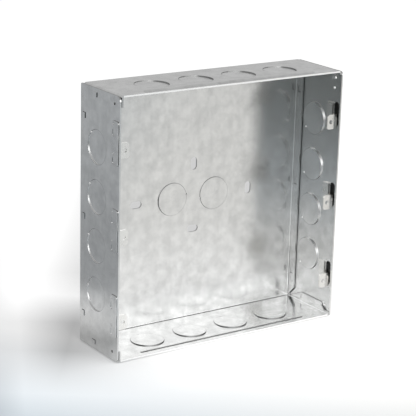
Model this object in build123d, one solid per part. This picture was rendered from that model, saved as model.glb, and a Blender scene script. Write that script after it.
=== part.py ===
from build123d import *
from math import asin, cos, degrees, radians, sin
import os

# Concealed wiring box in folded galvanised sheet, open at the front.
# One sheet folds into the back, the top wall, the bottom wall and the four narrow flanges.
# Two flat end plates are staked to those flanges, and six slide lugs ride in slots in the plates.
# Origin: centre of the outer face of the back. +X right, +Y out of the back, +Z up, millimetres.

# Main box
box_width = 200.0
box_height = 200.0
box_depth = 55.0
sheet = 1.2
fold_radius = 2.0

# Flanges of the folded sheet
rear_flange = 8.9
end_flange = 8.5
end_flange_setback = 17.5
end_flange_front_gap = 10.0
front_toe = 3.0
toe_length = 5.0
corner_relief = 0.4

# End plates
plate_gap = 0.4
plate_top_inset = 0.6
left_top_front_radius = 4.0
left_bottom_front_radius = 3.0
right_top_front_radius = 3.0
right_bottom_front_radius = 1.0
plate_rear_radius = 1.0
plate_hole_radius = 1.1
corner_hole_from_front = 7.2
corner_hole_from_edge = 6.6
pilot_hole_from_front = 8.1
pilot_hole_from_top = 14.7

# Stakes that hold the plates to the flanges, pushed outwards through both layers
stake_width = 4.6
stake_length = 3.6
stake_push = 0.6
stake_slit = 0.25
rear_stake_from_rear = 5.0
rear_stake_rise = 76.5
end_stake_from_rear = 21.0
end_stake_from_edge = 5.4

# Knockouts: discs pushed in, least at the small tie that holds them
knockout_radius = 13.0
wrap_push_near_tie = 0.25
wrap_push_far = 0.75
plate_push_near_tie = 0.4
plate_push_far = 1.1
tie_notch_radius = 0.75
side_knockout_pitch = 37.5
side_knockout_from_rear = 23.5
side_knockout_count = 4
wall_knockout_pitch = 38.6
wall_knockout_from_rear = 29.5
wall_knockout_count = 4
back_knockout_pitch = 38.6
left_lowest_tie_angle = 18.0
left_tie_step = 10.0
right_lowest_tie_angle = -48.0
right_tie_step = 2.0
top_tie_angle = 165.0
bottom_tie_angle = 90.0
back_tie_angle = 12.0

# Fixing slots in the back
back_slot_length = 10.0
back_slot_width = 5.5
back_slot_rise = 26.3
back_slot_reach = 52.3

# Stiffening bead near the front edge of the top and bottom walls
bead_length = 155.0
bead_width = 4.0
bead_height = 0.9
bead_from_front = 6.2

# Slots in the end plates for the lugs
lug_pitch = 65.0
lug_slot_length = 19.5
lug_slot_width = 5.7
lug_slot_from_front = 1.4

# Slide lugs
lug_sheet = 1.2
lug_clearance = 0.2
lug_stop_gap = 0.3
ear_from_front = 3.6
ear_reach = 9.0
ear_height = 11.6
ear_corner_radius = 2.2
screw_from_wall = 5.5
screw_hole_radius = 1.65
neck_width = 3.2
neck_height = 7.7
leg_end_from_front = 14.5
leg_height = 10.0
arm_width = 6.6
arm_rise = 14.1
strap_sheet = 0.45
strap_width = 9.0
strap_from_front = 1.2
strap_drop = 11.0
strap_rise = 21.7
strap_corner_radius = 2.0

# Marks pressed into the straps, with their heights above the screw
mark_depth = 0.25
mark_from_front = 7.5
dimple_radius = 1.0
dimple_heights = (19.6, -1.9)
recess_length = 6.0
recess_width = 2.6
recess_heights = (13.4, -7.0)

# Worked out from the sizes above
half_width = box_width / 2
half_height = box_height / 2
plate_inner = half_width - sheet
plate_top = half_height - plate_top_inset
wrap_half_width = plate_inner - plate_gap
screw_below_row = lug_slot_length / 2 - lug_stop_gap - neck_height / 2
lug_travel = lug_slot_length - neck_height - 2 * lug_stop_gap
slot_centre_from_front = lug_slot_from_front + lug_slot_width / 2
lug_rows = {"top": lug_pitch, "middle": 0.0, "bottom": -lug_pitch}


def spread(count, pitch):
    """Evenly spaced places, centred on zero."""
    return [(index - (count - 1) / 2) * pitch for index in range(count)]


def block(x_range, y_range, z_range):
    """A box between two limits on each axis."""
    size = [abs(high - low) for low, high in (x_range, y_range, z_range)]
    centre = [(low + high) / 2 for low, high in (x_range, y_range, z_range)]
    return Pos(*centre) * Box(*size)


def side_prism(outline, x_low, x_high):
    """A closed outline of (distance from the rear, height) points, extruded along X."""
    face = make_face(Polyline(*[(x_low, -depth, height) for depth, height in outline], close=True))
    return extrude(face, x_high - x_low, dir=(1, 0, 0))


def side_slot(length, width, depth, height, x_low, x_high):
    """An upright slot with round ends, extruded along X."""
    face = Plane((x_low, -depth, height), x_dir=(0, 1, 0), z_dir=(1, 0, 0)) * SlotOverall(
        length, width, rotation=90)
    return extrude(face, x_high - x_low, dir=(1, 0, 0))


def pin(point, direction, radius, length):
    """A round bar centred on a point."""
    return Plane(point, z_dir=direction) * Cylinder(radius, length)


def tilted_top(raise_mean, tilt):
    """Everything below a plane that drops towards local +X."""
    reach = 4 * knockout_radius
    return Pos(0, 0, raise_mean) * Rot(0, tilt, 0) * Pos(0, 0, -reach / 2) * Box(reach, reach, reach)


def add_knockout(wall, centre, inward, towards_tie, push_near_tie, push_far):
    """Push a round disc inwards, most on the side away from its tie."""
    place = Plane(centre, x_dir=towards_tie, z_dir=inward)
    mean_push = (push_far + push_near_tie) / 2
    tilt = degrees(asin((push_far - push_near_tie) / (2 * knockout_radius)))
    boss_height = push_far + sheet
    boss = Pos(0, 0, (boss_height - sheet / 2) / 2) * Cylinder(knockout_radius, boss_height + sheet / 2)
    dish = Pos(0, 0, -sheet) * Cylinder(knockout_radius, 2 * sheet)
    raised_disc = boss & tilted_top(mean_push, tilt)
    hollow = dish & tilted_top(mean_push - sheet, tilt)
    wall = wall + place * raised_disc
    wall = wall - place * hollow
    notch = Pos(knockout_radius, 0, 0) * Cylinder(tie_notch_radius, 6 * sheet)
    return wall - place * notch


def add_wrap_knockout(wrap, centre, inward, towards_tie):
    """Push a disc into the folded sheet."""
    return add_knockout(wrap, centre, inward, towards_tie, wrap_push_near_tie, wrap_push_far)


def turned(first, second, angle):
    """A direction in the plane of two axes, at an angle from the first."""
    return Vector(*first) * cos(radians(angle)) + Vector(*second) * sin(radians(angle))


def stake_tools(depth, height, joined_at_rear, outer_face):
    """The window that a stake leaves in one layer of the right side, and the tongue pushed through it."""
    inner_face = outer_face - sheet
    long_half, wide_half = stake_length / 2, stake_width / 2
    depth_half, height_half = (long_half, wide_half) if joined_at_rear else (wide_half, long_half)
    y_low, y_high = -depth - depth_half, -depth + depth_half
    z_low, z_high = abs(height) - height_half, abs(height) + height_half
    joint = sheet / 4
    window = block((inner_face - joint, outer_face + joint), (y_low, y_high), (z_low, z_high))
    if joined_at_rear:
        tongue_y, tongue_z = (y_low + stake_slit, y_high), (z_low + stake_slit, z_high - stake_slit)
        root_y, root_z = (y_high - joint, y_high + joint), tongue_z
    else:
        tongue_y, tongue_z = (y_low + stake_slit, y_high - stake_slit), (z_low + stake_slit, z_high)
        root_y, root_z = tongue_y, (z_high - joint, z_high + joint)
    tongue = block((inner_face + stake_push, outer_face + stake_push), tongue_y, tongue_z)
    tongue = tongue + block((inner_face + stake_push, outer_face), root_y, root_z)
    if height < 0:
        return mirror(window, about=Plane.XY), mirror(tongue, about=Plane.XY)
    return window, tongue


def add_stakes(layer, outer_face):
    """Lance every stake of the right side into one layer of sheet."""
    end_height = half_height - end_stake_from_edge
    places = [(rear_stake_from_rear, height, True) for height in (-rear_stake_rise, 0.0, rear_stake_rise)]
    places += [(end_stake_from_rear, height, False) for height in (-end_height, end_height)]
    for depth, height, joined_at_rear in places:
        window, tongue = stake_tools(depth, height, joined_at_rear, outer_face)
        layer = layer - window
        layer = layer + tongue
    return layer


def flange_window(with_toes):
    """The opening between the flanges on one side. With toes, the end flanges step down near the front."""
    corner = sheet + corner_relief
    upper = [
        (rear_flange, half_height - rear_flange - corner_relief),
        (corner, half_height - corner - corner_relief),
        (corner + corner_relief, half_height - corner),
        (end_flange_setback, half_height - corner),
        (end_flange_setback, half_height - end_flange),
    ]
    front_height = end_flange
    if with_toes:
        toe_start = box_depth - end_flange_front_gap
        front_height = front_toe
        upper += [
            (toe_start, half_height - end_flange),
            (toe_start + toe_length / 4, half_height - (end_flange + front_toe) / 2),
            (toe_start + toe_length, half_height - front_toe),
        ]
    upper.append((box_depth + sheet, half_height - front_height))
    lower = [(depth, -height) for depth, height in reversed(upper)]
    return upper + lower


def bead_bar(inflate):
    """A round-ended bar along X, sunk so that only its crown stands out."""
    radius = bead_width ** 2 / (8 * bead_height) + bead_height / 2
    centre_height = half_height + bead_height - radius
    place = Pos(0, -(box_depth - bead_from_front), centre_height)
    bar_radius = radius + inflate
    half_bar = bead_length / 2 - radius
    bar = Rot(0, 90, 0) * Cylinder(bar_radius, 2 * half_bar)
    for end in (-half_bar, half_bar):
        bar = bar + Pos(end, 0, 0) * Sphere(bar_radius)
    return place * bar


def add_bead(wrap, upper):
    """Press a bead outwards in the top or the bottom wall, at constant thickness."""
    above_middle = block((-half_width, half_width), (-box_depth, 0), (half_height - sheet / 2, box_height))
    below_skin = block((-half_width, half_width), (-box_depth, 0), (0, half_height + bead_height))
    crown = bead_bar(0) & above_middle
    groove = bead_bar(-sheet) & below_skin
    if not upper:
        crown = mirror(crown, about=Plane.XY)
        groove = mirror(groove, about=Plane.XY)
    wrap = wrap + crown
    return wrap - groove


def folded_tray():
    """The sheet folded round the box, still with whole end walls."""
    outer = block((-wrap_half_width, wrap_half_width), (-box_depth, 0), (-half_height, half_height))
    rear_edges = outer.faces().sort_by(Axis.Y)[-1].edges()
    side_edges = outer.edges().filter_by(Axis.Y)
    outer = fillet(rear_edges + side_edges, fold_radius)
    inner_half_width = wrap_half_width - sheet
    inner_half_height = half_height - sheet
    inner = block((-inner_half_width, inner_half_width), (-box_depth - sheet, -sheet),
                  (-inner_half_height, inner_half_height))
    rear_edges = inner.faces().sort_by(Axis.Y)[-1].edges()
    side_edges = inner.edges().filter_by(Axis.Y)
    inner = fillet(rear_edges + side_edges, fold_radius - sheet)
    return outer - inner


def box_wrap():
    """Back, top and bottom in one sheet, with its flanges, beads, knockouts and fixing slots."""
    wrap = folded_tray()
    window_range = (wrap_half_width - sheet - corner_relief / 4, wrap_half_width + sheet)
    wrap = wrap - side_prism(flange_window(True), *window_range)
    wrap = wrap - mirror(side_prism(flange_window(False), *window_range), about=Plane.YZ)
    wrap = add_bead(wrap, True)
    wrap = add_bead(wrap, False)
    top_tie = turned((1, 0, 0), (0, 1, 0), top_tie_angle)
    bottom_tie = turned((1, 0, 0), (0, 1, 0), bottom_tie_angle)
    for x in spread(wall_knockout_count, wall_knockout_pitch):
        top_centre = (x, -wall_knockout_from_rear, half_height - sheet)
        bottom_centre = (x, -wall_knockout_from_rear, -half_height + sheet)
        wrap = add_wrap_knockout(wrap, top_centre, (0, 0, -1), top_tie)
        wrap = add_wrap_knockout(wrap, bottom_centre, (0, 0, 1), bottom_tie)
    for side in (-1, 1):
        centre = (side * back_knockout_pitch / 2, -sheet, 0)
        towards_middle = turned((-side, 0, 0), (0, 0, -side), back_tie_angle)
        wrap = add_wrap_knockout(wrap, centre, (0, -1, 0), towards_middle)
    for x, z, angle in ((0, back_slot_rise, 90), (0, -back_slot_rise, 0),
                        (-back_slot_reach, 0, 0), (back_slot_reach, 0, 90)):
        slot = Plane((x, sheet, z), x_dir=(1, 0, 0), z_dir=(0, -1, 0)) * SlotOverall(
            back_slot_length, back_slot_width, rotation=angle)
        wrap = wrap - extrude(slot, 3 * sheet, dir=(0, -1, 0))
    wrap = add_stakes(wrap, wrap_half_width)
    wrap = mirror(wrap, about=Plane.YZ)
    wrap = add_stakes(wrap, wrap_half_width)
    return mirror(wrap, about=Plane.YZ)


def round_corner(plate, corner_y, corner_z, radius):
    """Round the corner of a plate that lies nearest to a point."""
    corner = plate.edges().filter_by(Axis.X).sort_by_distance((half_width, corner_y, corner_z))[0]
    return fillet(corner, radius)


def plate_hole(from_front, height):
    """A small round hole to cut through the right end plate."""
    point = (half_width - sheet / 2, -(box_depth - from_front), height)
    return pin(point, (1, 0, 0), plate_hole_radius, 4 * sheet)


def end_plate(top_front_radius, bottom_front_radius, lowest_tie_angle, tie_step):
    """One flat end plate, in the right-hand place, with its knockouts, lug slots, holes and stakes."""
    plate = block((plate_inner, half_width), (-box_depth, 0), (-half_height, plate_top))
    plate = round_corner(plate, -box_depth, plate_top, top_front_radius)
    plate = round_corner(plate, -box_depth, -half_height, bottom_front_radius)
    plate = round_corner(plate, 0, plate_top, plate_rear_radius)
    plate = round_corner(plate, 0, -half_height, plate_rear_radius)
    for row in lug_rows.values():
        plate = plate - side_slot(lug_slot_length, lug_slot_width, box_depth - slot_centre_from_front, row,
                                  plate_inner - sheet, half_width + sheet)
    for height in (-half_height + corner_hole_from_edge, half_height - corner_hole_from_edge):
        plate = plate - plate_hole(corner_hole_from_front, height)
    for place, height in enumerate(spread(side_knockout_count, side_knockout_pitch)):
        centre = (plate_inner, -side_knockout_from_rear, height)
        towards_tie = turned((0, 1, 0), (0, 0, 1), lowest_tie_angle + place * tie_step)
        plate = add_knockout(plate, centre, (-1, 0, 0), towards_tie, plate_push_near_tie, plate_push_far)
    return add_stakes(plate, half_width)


def lug_ear(height):
    """The tab that faces the front and takes the cover screw."""
    root = plate_inner - lug_clearance
    tip = plate_inner - ear_reach
    front = -(box_depth - ear_from_front)
    ear = block((tip, root), (front, front + lug_sheet), (height - ear_height / 2, height + ear_height / 2))
    free_corners = ear.edges().filter_by(Axis.Y).sort_by(Axis.X)[:2]
    ear = fillet(free_corners, ear_corner_radius)
    screw_point = (plate_inner - screw_from_wall, front + lug_sheet / 2, height)
    return ear - pin(screw_point, (0, 1, 0), screw_hole_radius, 4 * lug_sheet)


def lug_leg(height):
    """The part that lies flat on the inside of the end plate, with an arm behind the slot."""
    outer = plate_inner - lug_clearance
    inner = outer - lug_sheet
    front = -(box_depth - ear_from_front)
    rear = -(box_depth - leg_end_from_front)
    leg = block((inner, outer), (front, rear), (height - leg_height / 2, height + leg_height / 2))
    arm = block((inner, outer), (rear - arm_width, rear), (height, height + arm_rise))
    return leg + arm


def strap_marks(height, outer):
    """The dimples and recesses to press into the outside of a strap."""
    depth = box_depth - mark_from_front
    marks = [pin((outer, -depth, height + rise), (1, 0, 0), dimple_radius, 2 * mark_depth)
             for rise in dimple_heights]
    marks += [side_slot(recess_length, recess_width, depth, height + rise,
                        outer - mark_depth, outer + mark_depth) for rise in recess_heights]
    return marks


def lug_strap(height):
    """The strap on the outside of the end plate, joined to the leg by a neck through the slot."""
    inner = half_width + lug_clearance
    outer = inner + strap_sheet
    front = -(box_depth - strap_from_front)
    strap = block((inner, outer), (front, front + strap_width), (height - strap_drop, height + strap_rise))
    strap = fillet(strap.edges().filter_by(Axis.X), strap_corner_radius)
    for mark in strap_marks(height, outer):
        strap = strap - mark
    neck = side_slot(neck_height, neck_width, box_depth - slot_centre_from_front, height,
                     plate_inner - lug_clearance - lug_sheet / 2, inner + strap_sheet / 2)
    return strap + neck


def slide_lug(side, row):
    """One lug, down on the lower end of its slot."""
    height = row - screw_below_row
    lug = lug_ear(height) + lug_leg(height) + lug_strap(height)
    return lug if side > 0 else mirror(lug, about=Plane.YZ)


os.makedirs("parts", exist_ok=True)
export_step(box_wrap(), "parts/box_wrap.step")
left_plate = end_plate(left_top_front_radius, left_bottom_front_radius, left_lowest_tie_angle, left_tie_step)
right_plate = end_plate(right_top_front_radius, right_bottom_front_radius,
                        right_lowest_tie_angle, right_tie_step)
right_plate = right_plate - plate_hole(pilot_hole_from_front, half_height - pilot_hole_from_top)
export_step(mirror(left_plate, about=Plane.YZ), "parts/left_end_plate.step")
export_step(right_plate, "parts/right_end_plate.step")
for side_name, side_sign in (("left", -1), ("right", 1)):
    for row_name, row_height in lug_rows.items():
        export_step(slide_lug(side_sign, row_height), f"parts/{side_name}_{row_name}_lug.step")
print("lug travel", lug_travel, "screw below row", screw_below_row)
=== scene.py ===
from math import cos, pi, radians, sin

import bmesh
import bpy
from mathutils import Matrix, Vector


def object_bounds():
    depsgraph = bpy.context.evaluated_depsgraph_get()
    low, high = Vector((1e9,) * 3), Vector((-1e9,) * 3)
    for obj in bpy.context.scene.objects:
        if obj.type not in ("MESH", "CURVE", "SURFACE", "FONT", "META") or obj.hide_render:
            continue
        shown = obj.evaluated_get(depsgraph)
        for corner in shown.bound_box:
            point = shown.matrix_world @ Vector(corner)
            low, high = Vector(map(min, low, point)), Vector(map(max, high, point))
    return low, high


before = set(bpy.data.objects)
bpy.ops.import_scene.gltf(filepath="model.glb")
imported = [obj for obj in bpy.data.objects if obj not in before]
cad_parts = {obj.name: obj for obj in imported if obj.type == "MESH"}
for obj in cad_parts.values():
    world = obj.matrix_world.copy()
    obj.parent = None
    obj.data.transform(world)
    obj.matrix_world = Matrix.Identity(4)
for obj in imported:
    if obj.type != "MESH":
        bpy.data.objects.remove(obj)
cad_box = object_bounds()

# Lengths are in metres. The box stands as it is packed: back at y = 0, open towards -Y, +Z up.
millimetre = 0.001

# Camera, standing where the photograph was taken from
camera_place = Vector((-0.6439, -0.9520, 0.3314))
camera_azimuth = -34.70
camera_elevation = 16.53
camera_roll = 1.665
camera_focal_pixels = 1534.0
image_side = 416
sensor_width = 36.0
camera_clip_start = 0.05

# Light: levels are brightness as seen, where 1 is white
air_level = 0.62
softbox_width = 1.4
softbox_height = 1.1
left_softbox_place = Vector((-0.70, -1.5, 0.62))
left_softbox_level = 2.4
right_softbox_place = Vector((0.70, -1.5, 0.62))
right_softbox_level = 1.55
top_softbox_place = Vector((0.05, -0.25, 0.45))
top_softbox_side = 0.4
top_softbox_level = 2.5

# Floor: white where the camera sees it outside the two soft shadows below, and painted shade further out,
# where only the metal mirrors it. Each fall multiplies the colour by what is left over, from not at
# all at its start to fully at its end. The last one lifts the colour again, far out on the left, as
# painted light.
floor_tone = 0.90
floor_glow = 0.42
floor_roughness = 0.9
floor_half_size = 3.0
floor_falls = (
    {"towards": Vector((0.3, -0.95, 0.0)), "start": -0.05, "end": 0.28, "left_over": (0.63, 0.625, 0.61)},
    {"towards": Vector((-0.8, -0.6, 0.0)), "start": 0.08, "end": 0.22, "left_over": (0.56, 0.61, 0.65)},
    {"towards": Vector((-0.8, -0.6, 0.0)), "start": 0.36, "end": 0.52, "left_over": (0.36, 0.37, 0.355)},
    {"towards": Vector((-0.9, 0.44, 0.0)), "start": 0.135, "end": 0.20, "left_over": (0.34, 0.35, 0.36)},
    {"towards": Vector((-0.9, 0.44, 0.0)), "start": 0.28, "end": 0.70, "left_over": (1.40, 1.40, 1.40)},
)

# Soft shadows painted on the floor: one close beside the left end of the box, which that end mirrors,
# and a strip behind the box, which shows through the slots in the back
foot_shadow_across = (0.09, 0.17)
foot_shadow_centre = -0.05
foot_shadow_along = (0.03, 0.11)
foot_shadow_depth = 0.55
rear_shadow_across = (0.07, 0.14)
rear_shadow_start = (0.0, 0.10)
rear_shadow_along = (0.50, 0.62)
rear_shadow_depth = 0.45
view_across = Vector((-0.82, 0.57, 0.0))
view_along = Vector((0.57, 0.82, 0.0))

# Finish of the galvanised sheet
sheet_tone = 0.66
sheet_tone_spread = 0.08
sheet_roughness = 0.21
sheet_roughness_spread = 0.03
sheet_tint = (0.995, 1.0, 0.995)
crystal_size = 7 * millimetre
cloud_size = 9 * millimetre
streak_width = 3 * millimetre
streak_length = 30 * millimetre
crystal_share = 0.35
crystal_softness = 0.6
crystal_edge_detail = 3.0
cloud_share = 0.50
cloud_detail = 5.0
cloud_detail_strength = 0.6
cloud_range = (0.38, 0.62)
streak_share = 0.15
streak_detail = 2.0
streak_range = (0.30, 0.70)
wrap_pattern_shift = (0.0, 0.0, 0.0)
left_plate_pattern_shift = (0.31, 0.17, 0.05)
right_plate_pattern_shift = (0.11, 0.43, 0.23)
lug_pattern_shift = (0.2, 0.2, 0.2)
ripple_height = 0.014 * millimetre

# Finish of the plated lugs. The left lugs' tone is set lighter than the right's as painted light
left_lug_tone_with_painted_light = 0.84
right_lug_tone_with_painted_light = 0.72
lug_tone_spread = 0.06
lug_roughness = 0.25
lug_roughness_spread = 0.05
lug_tint = (1.0, 0.99, 0.965)

# Seams, gaps and inner corners get painted shade. Edges that the press has sheared are darker, partly
# their own metal and partly painted shade, or rough at a rim with a painted highlight
crevice_reach = 1.3 * millimetre
crevice_samples = 8
crevice_openness = (0.05, 0.35)
crevice_shade_left_over = 0.40
dull_and_shaded_edge_left_over = 0.50
rim_highlight_tone = 0.97
rim_roughness = 0.36
slot_shade_left_over = 0.04
shear_line_half_width = 0.28 * millimetre

# How squarely a face looks along an axis: 0 is across it and 1 is straight along it
facing_half = 0.5
facing_mostly = 0.7
facing_nearly = 0.85
facing_squarely = 0.9

# Where the sheared edges and the hidden faces lie
wall_margin = 4.5 * millimetre
edge_margin = 1.2 * millimetre
wrap_knockout_half_width = 80 * millimetre
wrap_knockout_depths = (-48 * millimetre, -12 * millimetre)
back_knockout_half_size = 90 * millimetre
plate_knockout_depths = (-40 * millimetre, -8 * millimetre)
plate_knockout_half_height = 72 * millimetre
knockout_radius = 13 * millimetre
plate_knockout_pitch = 37.5 * millimetre
plate_knockout_depth = -23.5 * millimetre
wrap_knockout_pitch = 38.6 * millimetre
wrap_knockout_depth = -29.5 * millimetre
box_half_height = 100 * millimetre
box_front = cad_box[0][1]
plate_and_strap = 1.85 * millimetre
plate_and_clearance = 1.42 * millimetre
flange_and_gap = 1.75 * millimetre
plate_inner = cad_box[1][0] - plate_and_strap
flange_inside = plate_inner - flange_and_gap
flange_edge_height = 92.5 * millimetre
flange_edge_share = 0.40
bead_half_length = 78 * millimetre
bead_depths = (-51.5 * millimetre, -46 * millimetre)
strap_inner = plate_inner + plate_and_clearance
slot_from_front = 1.5 * millimetre
strap_edge_from_front = 2.4 * millimetre
slot_front = box_front + slot_from_front
strap_front_edge = box_front + strap_edge_from_front
plate_outline_margin = 3.6 * millimetre


def white(level):
    """A neutral colour of one level."""
    return (level, level, level, 1.0)


def new_group(name, inputs, outputs):
    """An empty shader node group with named sockets."""
    group = bpy.data.node_groups.new(name, "ShaderNodeTree")
    for socket_name, kind in inputs:
        group.interface.new_socket(socket_name, in_out="INPUT", socket_type=kind)
    for socket_name, kind in outputs:
        group.interface.new_socket(socket_name, in_out="OUTPUT", socket_type=kind)
    entry = group.nodes.new("NodeGroupInput")
    leave = group.nodes.new("NodeGroupOutput")
    return group, entry, leave


def add_node(tree, kind, **settings):
    """A node with its properties set by name."""
    node = tree.nodes.new(kind)
    for name, value in settings.items():
        setattr(node, name, value)
    return node


def feed(tree, source, target):
    """Give an input a source or a plain value."""
    if isinstance(source, (int, float, tuple)):
        target.default_value = source
    else:
        tree.links.new(source, target)


def calculate(tree, operation, first, second=0.0, clamp=False):
    """A Math node on two sources or numbers."""
    node = add_node(tree, "ShaderNodeMath", operation=operation, use_clamp=clamp)
    feed(tree, first, node.inputs[0])
    feed(tree, second, node.inputs[1])
    return node.outputs[0]


def remap(tree, source, low, high, new_low, new_high):
    """A Map Range node that follows a source."""
    node = add_node(tree, "ShaderNodeMapRange")
    feed(tree, source, node.inputs["Value"])
    for name, value in (("From Min", low), ("From Max", high), ("To Min", new_low), ("To Max", new_high)):
        feed(tree, value, node.inputs[name])
    return node.outputs["Result"]


def all_of(tree, *masks):
    """1 where every mask is 1."""
    total = masks[0]
    for mask in masks[1:]:
        total = calculate(tree, "MULTIPLY", total, mask)
    return total


def any_of(tree, *masks):
    """1 where at least one mask is 1."""
    total = masks[0]
    for mask in masks[1:]:
        total = calculate(tree, "MAXIMUM", total, mask)
    return total


def above(tree, source, limit):
    """1 where a source is over a limit."""
    return calculate(tree, "GREATER_THAN", source, limit)


def below(tree, source, limit):
    """1 where a source is under a limit."""
    return calculate(tree, "LESS_THAN", source, limit)


def parts_of(tree, vector):
    """The three parts of a vector, and the size of each."""
    split = add_node(tree, "ShaderNodeSeparateXYZ")
    feed(tree, vector, split.inputs["Vector"])
    plain = list(split.outputs)
    return plain, [calculate(tree, "ABSOLUTE", part) for part in plain]


def noise(tree, place, size, detail, roughness=0.5):
    """Smooth noise with patches of about one size."""
    node = add_node(tree, "ShaderNodeTexNoise")
    feed(tree, place, node.inputs["Vector"])
    feed(tree, 1 / size, node.inputs["Scale"])
    feed(tree, detail, node.inputs["Detail"])
    feed(tree, roughness, node.inputs["Roughness"])
    return node


def ragged_crystals(tree, place):
    """Crystals of differing tone, with ragged borders."""
    ragged = noise(tree, place, crystal_size / 2, crystal_edge_detail)
    shift = add_node(tree, "ShaderNodeVectorMath", operation="MULTIPLY_ADD")
    feed(tree, ragged.outputs["Color"], shift.inputs[0])
    shift.inputs[1].default_value = (crystal_size,) * 3
    feed(tree, place, shift.inputs[2])
    crystals = add_node(tree, "ShaderNodeTexVoronoi", feature="SMOOTH_F1")
    feed(tree, shift.outputs["Vector"], crystals.inputs["Vector"])
    feed(tree, 1 / crystal_size, crystals.inputs["Scale"])
    feed(tree, crystal_softness, crystals.inputs["Smoothness"])
    crystal_parts = add_node(tree, "ShaderNodeSeparateColor")
    feed(tree, crystals.outputs["Color"], crystal_parts.inputs["Color"])
    return crystal_parts.outputs["Red"]


def upright_streaks(tree, place):
    """Noise that is drawn out along Z."""
    drawn_out = add_node(tree, "ShaderNodeVectorMath", operation="MULTIPLY")
    feed(tree, place, drawn_out.inputs[0])
    drawn_out.inputs[1].default_value = (1.0, 1.0, streak_width / streak_length)
    return noise(tree, drawn_out.outputs["Vector"], streak_width, streak_detail).outputs["Fac"]


def build_spangle_group():
    """Zinc on rolled sheet: soft clouds, ragged crystals and faint upright streaks, and a slow ripple."""
    group, entry, leave = new_group("zinc_spangle", [("Place", "NodeSocketVector")],
                                    [("Tone", "NodeSocketFloat"), ("Ripple", "NodeSocketFloat")])
    place = entry.outputs["Place"]
    clouds = noise(group, place, cloud_size, cloud_detail, cloud_detail_strength).outputs["Fac"]
    streaks = upright_streaks(group, place)
    tone = 0.0
    for source, share in ((ragged_crystals(group, place), crystal_share),
                          (remap(group, streaks, *streak_range, 0.0, 1.0), streak_share),
                          (remap(group, clouds, *cloud_range, 0.0, 1.0), cloud_share)):
        tone = calculate(group, "ADD", calculate(group, "MULTIPLY", source, share), tone)
    feed(group, tone, leave.inputs["Tone"])
    feed(group, clouds, leave.inputs["Ripple"])
    return group


def from_middle(tree, size, pitch):
    """Distance from the nearest middle of a row that is even about the centre."""
    return calculate(tree, "SUBTRACT", calculate(tree, "MODULO", size, pitch), pitch / 2)


def shear_line(tree, across, along):
    """1 on the fine line round a knockout, from the two distances to the knockout's middle."""
    squared = calculate(tree, "ADD", calculate(tree, "MULTIPLY", across, across),
                        calculate(tree, "MULTIPLY", along, along))
    off_line = calculate(tree, "SUBTRACT", calculate(tree, "SQRT", squared), knockout_radius)
    return remap(tree, calculate(tree, "ABSOLUTE", off_line), shear_line_half_width / 2,
                 shear_line_half_width, 1.0, 0.0)


def start_edge_group(name):
    """A group that finds edges from place and facing: its two masks are the darker edges, partly their own
    metal and partly painted shade, and Rim, with a painted highlight.
    """
    group, entry, leave = new_group(name, [("Place", "NodeSocketVector"), ("Facing", "NodeSocketVector")],
                                    [("Dull_and_shaded", "NodeSocketFloat"), ("Rim", "NodeSocketFloat")])
    return group, parts_of(group, entry.outputs["Place"]), parts_of(group, entry.outputs["Facing"]), leave


def wrap_knockout_edges(tree, place, place_size, facing_size):
    """1 on the sheared edges of knockouts and slots in the back, and of knockouts in the two walls."""
    in_back = all_of(tree, above(tree, place[1], -wall_margin),
                     below(tree, place_size[0], back_knockout_half_size),
                     below(tree, place_size[2], back_knockout_half_size),
                     below(tree, facing_size[1], facing_half))
    in_walls = all_of(tree, above(tree, place[1], wrap_knockout_depths[0]),
                      below(tree, place[1], wrap_knockout_depths[1]),
                      below(tree, place_size[0], wrap_knockout_half_width),
                      above(tree, place_size[2], box_half_height - wall_margin),
                      below(tree, facing_size[2], facing_half))
    return any_of(tree, in_back, in_walls)


def wrap_shear_lines(tree, place, place_size, facing_size):
    """1 on the fine lines round the knockouts of the back and of the two walls."""
    from_row = from_middle(tree, place_size[0], wrap_knockout_pitch)
    from_depth = calculate(tree, "SUBTRACT", place[1], wrap_knockout_depth)
    in_back = all_of(tree, shear_line(tree, from_row, place[2]), above(tree, facing_size[1], facing_half),
                     above(tree, place[1], -wall_margin), below(tree, place_size[0], wrap_knockout_pitch))
    in_walls = all_of(tree, shear_line(tree, from_row, from_depth),
                      above(tree, facing_size[2], facing_half),
                      above(tree, place_size[2], box_half_height - wall_margin),
                      below(tree, place_size[0], 2 * wrap_knockout_pitch))
    return any_of(tree, in_back, in_walls)


def flange_edges(tree, place_size, facing, facing_size):
    """1 on the free edges of the flanges."""
    at_front = below(tree, facing[1], -facing_mostly)
    at_ends = all_of(tree, above(tree, facing_size[2], facing_mostly),
                     below(tree, place_size[2], flange_edge_height))
    return all_of(tree, above(tree, place_size[0], flange_inside), any_of(tree, at_front, at_ends))


def bead_slopes(tree, place, place_size, facing_size):
    """1 on the slopes of the two beads."""
    return all_of(tree, below(tree, place_size[0], bead_half_length),
                  above(tree, place[1], bead_depths[0]), below(tree, place[1], bead_depths[1]),
                  above(tree, place_size[2], box_half_height - edge_margin),
                  below(tree, place_size[2], box_half_height), below(tree, facing_size[2], facing_nearly))


def build_wrap_edge_group():
    """Folded sheet: darker along knockouts, slots, beads and flanges, partly their own metal and partly
    painted shade, and a painted highlight along the front edges.
    """
    group, (place, place_size), (facing, facing_size), leave = start_edge_group("wrap_edges")
    flanges = flange_edges(group, place_size, facing, facing_size)
    dull_and_shaded = any_of(group, wrap_knockout_edges(group, place, place_size, facing_size),
                  wrap_shear_lines(group, place, place_size, facing_size),
                  bead_slopes(group, place, place_size, facing_size),
                  calculate(group, "MULTIPLY", flanges, flange_edge_share))
    rim = all_of(group, below(group, place_size[0], flange_inside),
                 below(group, facing[1], -facing_mostly),
                 below(group, place[1], box_front + edge_margin))
    feed(group, dull_and_shaded, leave.inputs["Dull_and_shaded"])
    feed(group, rim, leave.inputs["Rim"])
    return group


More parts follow.
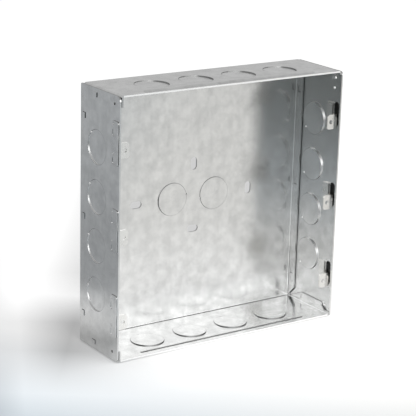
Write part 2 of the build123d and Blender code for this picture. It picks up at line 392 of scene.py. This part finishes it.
def build_plate_edge_group():
    """End plates: darker along the top and bottom and in the shear lines, partly their own metal and
    partly painted shade, and a painted highlight round the knockouts.
    """
    group, (place, place_size), (facing, facing_size), leave = start_edge_group("plate_edges")
    on_edge = below(group, facing_size[0], facing_half)
    to_front = below(group, facing[1], -facing_squarely)
    outline = all_of(group, on_edge, above(group, place_size[2], box_half_height - plate_outline_margin))
    dull_and_shaded = calculate(group, "SUBTRACT", outline, to_front, clamp=True)
    round_knockouts = all_of(group, on_edge, above(group, place[1], plate_knockout_depths[0]),
                             below(group, place[1], plate_knockout_depths[1]),
                             below(group, place_size[2], plate_knockout_half_height))
    from_row = from_middle(group, place_size[2], plate_knockout_pitch)
    from_depth = calculate(group, "SUBTRACT", place[1], plate_knockout_depth)
    lines = all_of(group, shear_line(group, from_row, from_depth),
                   above(group, facing_size[0], facing_half),
                   below(group, place_size[2], 2 * plate_knockout_pitch))
    feed(group, any_of(group, dull_and_shaded, lines), leave.inputs["Dull_and_shaded"])
    feed(group, round_knockouts, leave.inputs["Rim"])
    return group


def darken(tree, colour, mask, left_over):
    """Multiply a colour by what is left over of it where a mask is 1."""
    mix = add_node(tree, "ShaderNodeMix", data_type="RGBA", blend_type="MULTIPLY")
    feed(tree, mask, mix.inputs["Factor"])
    feed(tree, colour, mix.inputs["A"])
    mix.inputs["B"].default_value = left_over
    return mix.outputs["Result"]


def painted_crevice_shade(tree):
    """Painted shade: 1 deep in a seam, a gap or an inner corner, and 0 in the open."""
    nearby = add_node(tree, "ShaderNodeAmbientOcclusion", samples=crevice_samples)
    nearby.inputs["Distance"].default_value = crevice_reach
    return remap(tree, nearby.outputs["AO"], *crevice_openness, 1.0, 0.0)


def blend_to(tree, first, second, mask):
    """From one colour to another as a mask goes from 0 to 1."""
    mix = add_node(tree, "ShaderNodeMix", data_type="RGBA")
    feed(tree, mask, mix.inputs["Factor"])
    feed(tree, first, mix.inputs["A"])
    feed(tree, second, mix.inputs["B"])
    return mix.outputs["Result"]


def start_metal(name, pattern_shift):
    """A metal material with the zinc pattern's ripple, and its coordinates and the pattern's tone."""
    material = bpy.data.materials.new(name)
    material.use_nodes = True
    tree = material.node_tree
    shader = tree.nodes["Principled BSDF"]
    shader.inputs["Metallic"].default_value = 1.0
    coordinates = add_node(tree, "ShaderNodeTexCoord")
    moved = add_node(tree, "ShaderNodeMapping")
    moved.inputs["Location"].default_value = pattern_shift
    feed(tree, coordinates.outputs["Object"], moved.inputs["Vector"])
    pattern = add_node(tree, "ShaderNodeGroup", node_tree=spangle_group)
    feed(tree, moved.outputs["Vector"], pattern.inputs["Place"])
    relief = add_node(tree, "ShaderNodeBump")
    relief.inputs["Distance"].default_value = ripple_height
    feed(tree, pattern.outputs["Ripple"], relief.inputs["Height"])
    feed(tree, relief.outputs["Normal"], shader.inputs["Normal"])
    return material, coordinates, pattern.outputs["Tone"]


def zinc_colour(tree, pattern_tone, tone, tone_spread, tint):
    """The pattern's tone as a colour of the metal."""
    dark, bright = [tuple(level * part for part in tint) + (1.0,)
                    for level in (tone - tone_spread, tone + tone_spread)]
    return blend_to(tree, dark, bright, pattern_tone)


def galvanised_sheet(name, pattern_shift, edge_group):
    """Galvanised steel sheet, with painted shade in its seams, and sheared edges that are darker, partly
    as painted shade, or carry a painted highlight at a rim.
    """
    material, coordinates, pattern_tone = start_metal(name, pattern_shift)
    tree = material.node_tree
    shader = tree.nodes["Principled BSDF"]
    edges = add_node(tree, "ShaderNodeGroup", node_tree=edge_group)
    feed(tree, coordinates.outputs["Object"], edges.inputs["Place"])
    feed(tree, coordinates.outputs["Normal"], edges.inputs["Facing"])
    colour = zinc_colour(tree, pattern_tone, sheet_tone, sheet_tone_spread, sheet_tint)
    # Painted highlight on the front rims and round the plates' knockouts, which are also rougher
    colour = blend_to(tree, colour, white(rim_highlight_tone), edges.outputs["Rim"])
    # Sheared edges, bead slopes and flange edges darker: partly their own metal, partly painted shade
    colour = darken(tree, colour, edges.outputs["Dull_and_shaded"], white(dull_and_shaded_edge_left_over))
    # Painted shade in seams, gaps and inner corners
    colour = darken(tree, colour, painted_crevice_shade(tree), white(crevice_shade_left_over))
    feed(tree, colour, shader.inputs["Base Color"])
    gloss = remap(tree, pattern_tone, 0.0, 1.0, sheet_roughness + sheet_roughness_spread,
                  sheet_roughness - sheet_roughness_spread)
    sheared = any_of(tree, edges.outputs["Rim"], edges.outputs["Dull_and_shaded"])
    rough_share = calculate(tree, "MULTIPLY", sheared, rim_roughness)
    feed(tree, calculate(tree, "MAXIMUM", gloss, rough_share), shader.inputs["Roughness"])
    return material


def plated_lug(name, lug_tone):
    """Plated steel: bright inside the box, painted shade in the slot, and like the sheet on the outside,
    with a painted highlight on the strap's front edge.
    """
    material, coordinates, pattern_tone = start_metal(name, lug_pattern_shift)
    tree = material.node_tree
    shader = tree.nodes["Principled BSDF"]
    plated = zinc_colour(tree, pattern_tone, lug_tone, lug_tone_spread, lug_tint)
    dulled = zinc_colour(tree, pattern_tone, sheet_tone, sheet_tone_spread, sheet_tint)
    place, place_size = parts_of(tree, coordinates.outputs["Object"])
    across = place_size[0]
    in_slot = all_of(tree, above(tree, across, plate_inner), below(tree, across, strap_inner),
                     above(tree, place[1], slot_front))
    outside = above(tree, across, strap_inner)
    facing = parts_of(tree, coordinates.outputs["Normal"])[0]
    front_edge = all_of(tree, outside, below(tree, facing[1], -facing_mostly),
                        below(tree, place[1], strap_front_edge))
    # Painted highlight on the strap's front edge outside the plate
    colour = blend_to(tree, blend_to(tree, plated, dulled, outside), white(rim_highlight_tone), front_edge)
    # Painted shade: near black where the lug lies in the slot
    colour = darken(tree, colour, in_slot, white(slot_shade_left_over))
    # Painted shade in seams, gaps and inner corners
    colour = darken(tree, colour, painted_crevice_shade(tree), white(crevice_shade_left_over))
    feed(tree, colour, shader.inputs["Base Color"])
    gloss = remap(tree, pattern_tone, 0.0, 1.0, lug_roughness + lug_roughness_spread,
                  lug_roughness - lug_roughness_spread)
    rough_share = calculate(tree, "MULTIPLY", front_edge, rim_roughness)
    feed(tree, calculate(tree, "MAXIMUM", gloss, rough_share), shader.inputs["Roughness"])
    return material


def dress(node, material):
    """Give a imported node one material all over."""
    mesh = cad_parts[node].data
    mesh.materials.clear()
    mesh.materials.append(material)


def build_world():
    """Soft pale grey light all round."""
    world = bpy.data.worlds.new("studio_air")
    bpy.context.scene.world = world
    world.use_nodes = True
    backdrop = world.node_tree.nodes["Background"]
    backdrop.inputs["Color"].default_value = white(1.0)
    backdrop.inputs["Strength"].default_value = air_level


def distance_along(tree, place, direction):
    """How far a place lies from the middle of the box in one direction."""
    along = add_node(tree, "ShaderNodeVectorMath", operation="DOT_PRODUCT")
    feed(tree, place, along.inputs[0])
    along.inputs[1].default_value = direction
    return along.outputs["Value"]


def shadow_left_over(tree, place):
    """The share of light that is left in the shadows behind the box and close beside its left end."""
    across = distance_along(tree, place, view_across)
    along = distance_along(tree, place, view_along)
    across_size = calculate(tree, "ABSOLUTE", across)
    from_foot = calculate(tree, "ABSOLUTE", calculate(tree, "SUBTRACT", along, foot_shadow_centre))
    behind = all_of(tree, remap(tree, across_size, *rear_shadow_across, rear_shadow_depth, 0.0),
                    remap(tree, along, *rear_shadow_along, 1.0, 0.0),
                    remap(tree, along, *rear_shadow_start, 0.0, 1.0))
    beside = all_of(tree, remap(tree, across, *foot_shadow_across, foot_shadow_depth, 0.0),
                    remap(tree, from_foot, *foot_shadow_along, 1.0, 0.0),
                    remap(tree, across, 0.0, foot_shadow_across[0], 0.0, 1.0))
    return calculate(tree, "SUBTRACT", 1.0, any_of(tree, behind, beside))


def floor_colour(tree, place):
    """White round the box, with painted shade further out and painted shadows."""
    colour = white(1.0)
    for fall in floor_falls:
        along = distance_along(tree, place, fall["towards"])
        reached = remap(tree, along, fall["start"], fall["end"], 0.0, 1.0)
        colour = darken(tree, colour, reached, fall["left_over"] + (1.0,))
    return blend_to(tree, white(0.0), colour, shadow_left_over(tree, place))


def pale_floor():
    """A matt floor that glows a little where it is looked at, so that it shows white."""
    material = bpy.data.materials.new("pale_floor")
    material.use_nodes = True
    tree = material.node_tree
    shader = tree.nodes["Principled BSDF"]
    coordinates = add_node(tree, "ShaderNodeTexCoord")
    colour = floor_colour(tree, coordinates.outputs["Object"])
    feed(tree, darken(tree, colour, 1.0, white(floor_tone)), shader.inputs["Base Color"])
    feed(tree, colour, shader.inputs["Emission Color"])
    shader.inputs["Roughness"].default_value = floor_roughness
    shader.inputs["Specular IOR Level"].default_value = 0.0
    path = add_node(tree, "ShaderNodeLightPath")
    looked_at = any_of(tree, path.outputs["Is Camera Ray"], path.outputs["Is Glossy Ray"],
                       path.outputs["Is Transmission Ray"])
    feed(tree, calculate(tree, "MULTIPLY", looked_at, floor_glow), shader.inputs["Emission Strength"])
    return material


def build_floor():
    """A wide floor at the height of the box's lowest point."""
    mesh = bpy.data.meshes.new("floor")
    shape = bmesh.new()
    bmesh.ops.create_grid(shape, x_segments=1, y_segments=1, size=floor_half_size)
    bmesh.ops.translate(shape, verts=shape.verts, vec=(0, 0, cad_box[0][2]))
    shape.to_mesh(mesh)
    shape.free()
    mesh.materials.append(pale_floor())
    floor = bpy.data.objects.new("floor", mesh)
    bpy.context.scene.collection.objects.link(floor)


def build_softbox(name, place, target, width, height, level):
    """A large soft lamp of an even brightness that faces a point."""
    lamp = bpy.data.lights.new(name, "AREA")
    lamp.shape = "RECTANGLE"
    lamp.size = width
    lamp.size_y = height
    lamp.energy = level * pi * width * height
    holder = bpy.data.objects.new(name, lamp)
    holder.visible_camera = False
    bpy.context.scene.collection.objects.link(holder)
    towards = Vector(target) - Vector(place)
    holder.matrix_world = Matrix.Translation(place) @ towards.to_track_quat("-Z", "Y").to_matrix().to_4x4()
    return holder


def build_lamps():
    """Two softboxes in front of the box, and one above it that only lights the floor."""
    for name, place, level in (("left_softbox", left_softbox_place, left_softbox_level),
                               ("right_softbox", right_softbox_place, right_softbox_level)):
        build_softbox(name, place, (place.x, 0, 0), softbox_width, softbox_height, level)
    top = build_softbox("top_softbox", top_softbox_place, top_softbox_place - Vector((0, 0, 1)),
                        top_softbox_side, top_softbox_side, top_softbox_level)
    top.visible_glossy = False


def build_camera():
    """The photograph's viewpoint, from its azimuth, elevation and roll."""
    azimuth, elevation, roll = radians(camera_azimuth), radians(camera_elevation), radians(camera_roll)
    forward = Vector((-sin(azimuth) * cos(elevation), cos(azimuth) * cos(elevation), -sin(elevation)))
    level_right = forward.cross(Vector((0, 0, 1))).normalized()
    level_up = level_right.cross(forward)
    right = level_right * cos(roll) + level_up * sin(roll)
    up = right.cross(forward)
    camera_data = bpy.data.cameras.new("camera")
    camera_data.sensor_width = sensor_width
    camera_data.lens = camera_focal_pixels / image_side * sensor_width
    camera_data.clip_start = camera_clip_start
    camera = bpy.data.objects.new("camera", camera_data)
    bpy.context.scene.collection.objects.link(camera)
    turn = Matrix((right, up, -forward)).transposed().to_4x4()
    camera.matrix_world = Matrix.Translation(camera_place) @ turn
    bpy.context.scene.camera = camera


bpy.context.scene.view_settings.view_transform = "Standard"
build_camera()
build_world()
build_floor()
build_lamps()

spangle_group = build_spangle_group()
wrap_edge_group = build_wrap_edge_group()
plate_edge_group = build_plate_edge_group()
for node, name, pattern_shift, edge_group in (
        ("box_wrap", "galvanised_wrap", wrap_pattern_shift, wrap_edge_group),
        ("left_end_plate", "galvanised_left_plate", left_plate_pattern_shift, plate_edge_group),
        ("right_end_plate", "galvanised_right_plate", right_plate_pattern_shift, plate_edge_group)):
    dress(node, galvanised_sheet(name, pattern_shift, edge_group))
# One copy of the lugs' material per side, the left one lighter as painted light
for side, lug_tone in (("left", left_lug_tone_with_painted_light), ("right", right_lug_tone_with_painted_light)):
    lug_metal = plated_lug(side + "_plated_lug", lug_tone)
    for row in ("top", "middle", "bottom"):
        dress(side + "_" + row + "_lug", lug_metal)
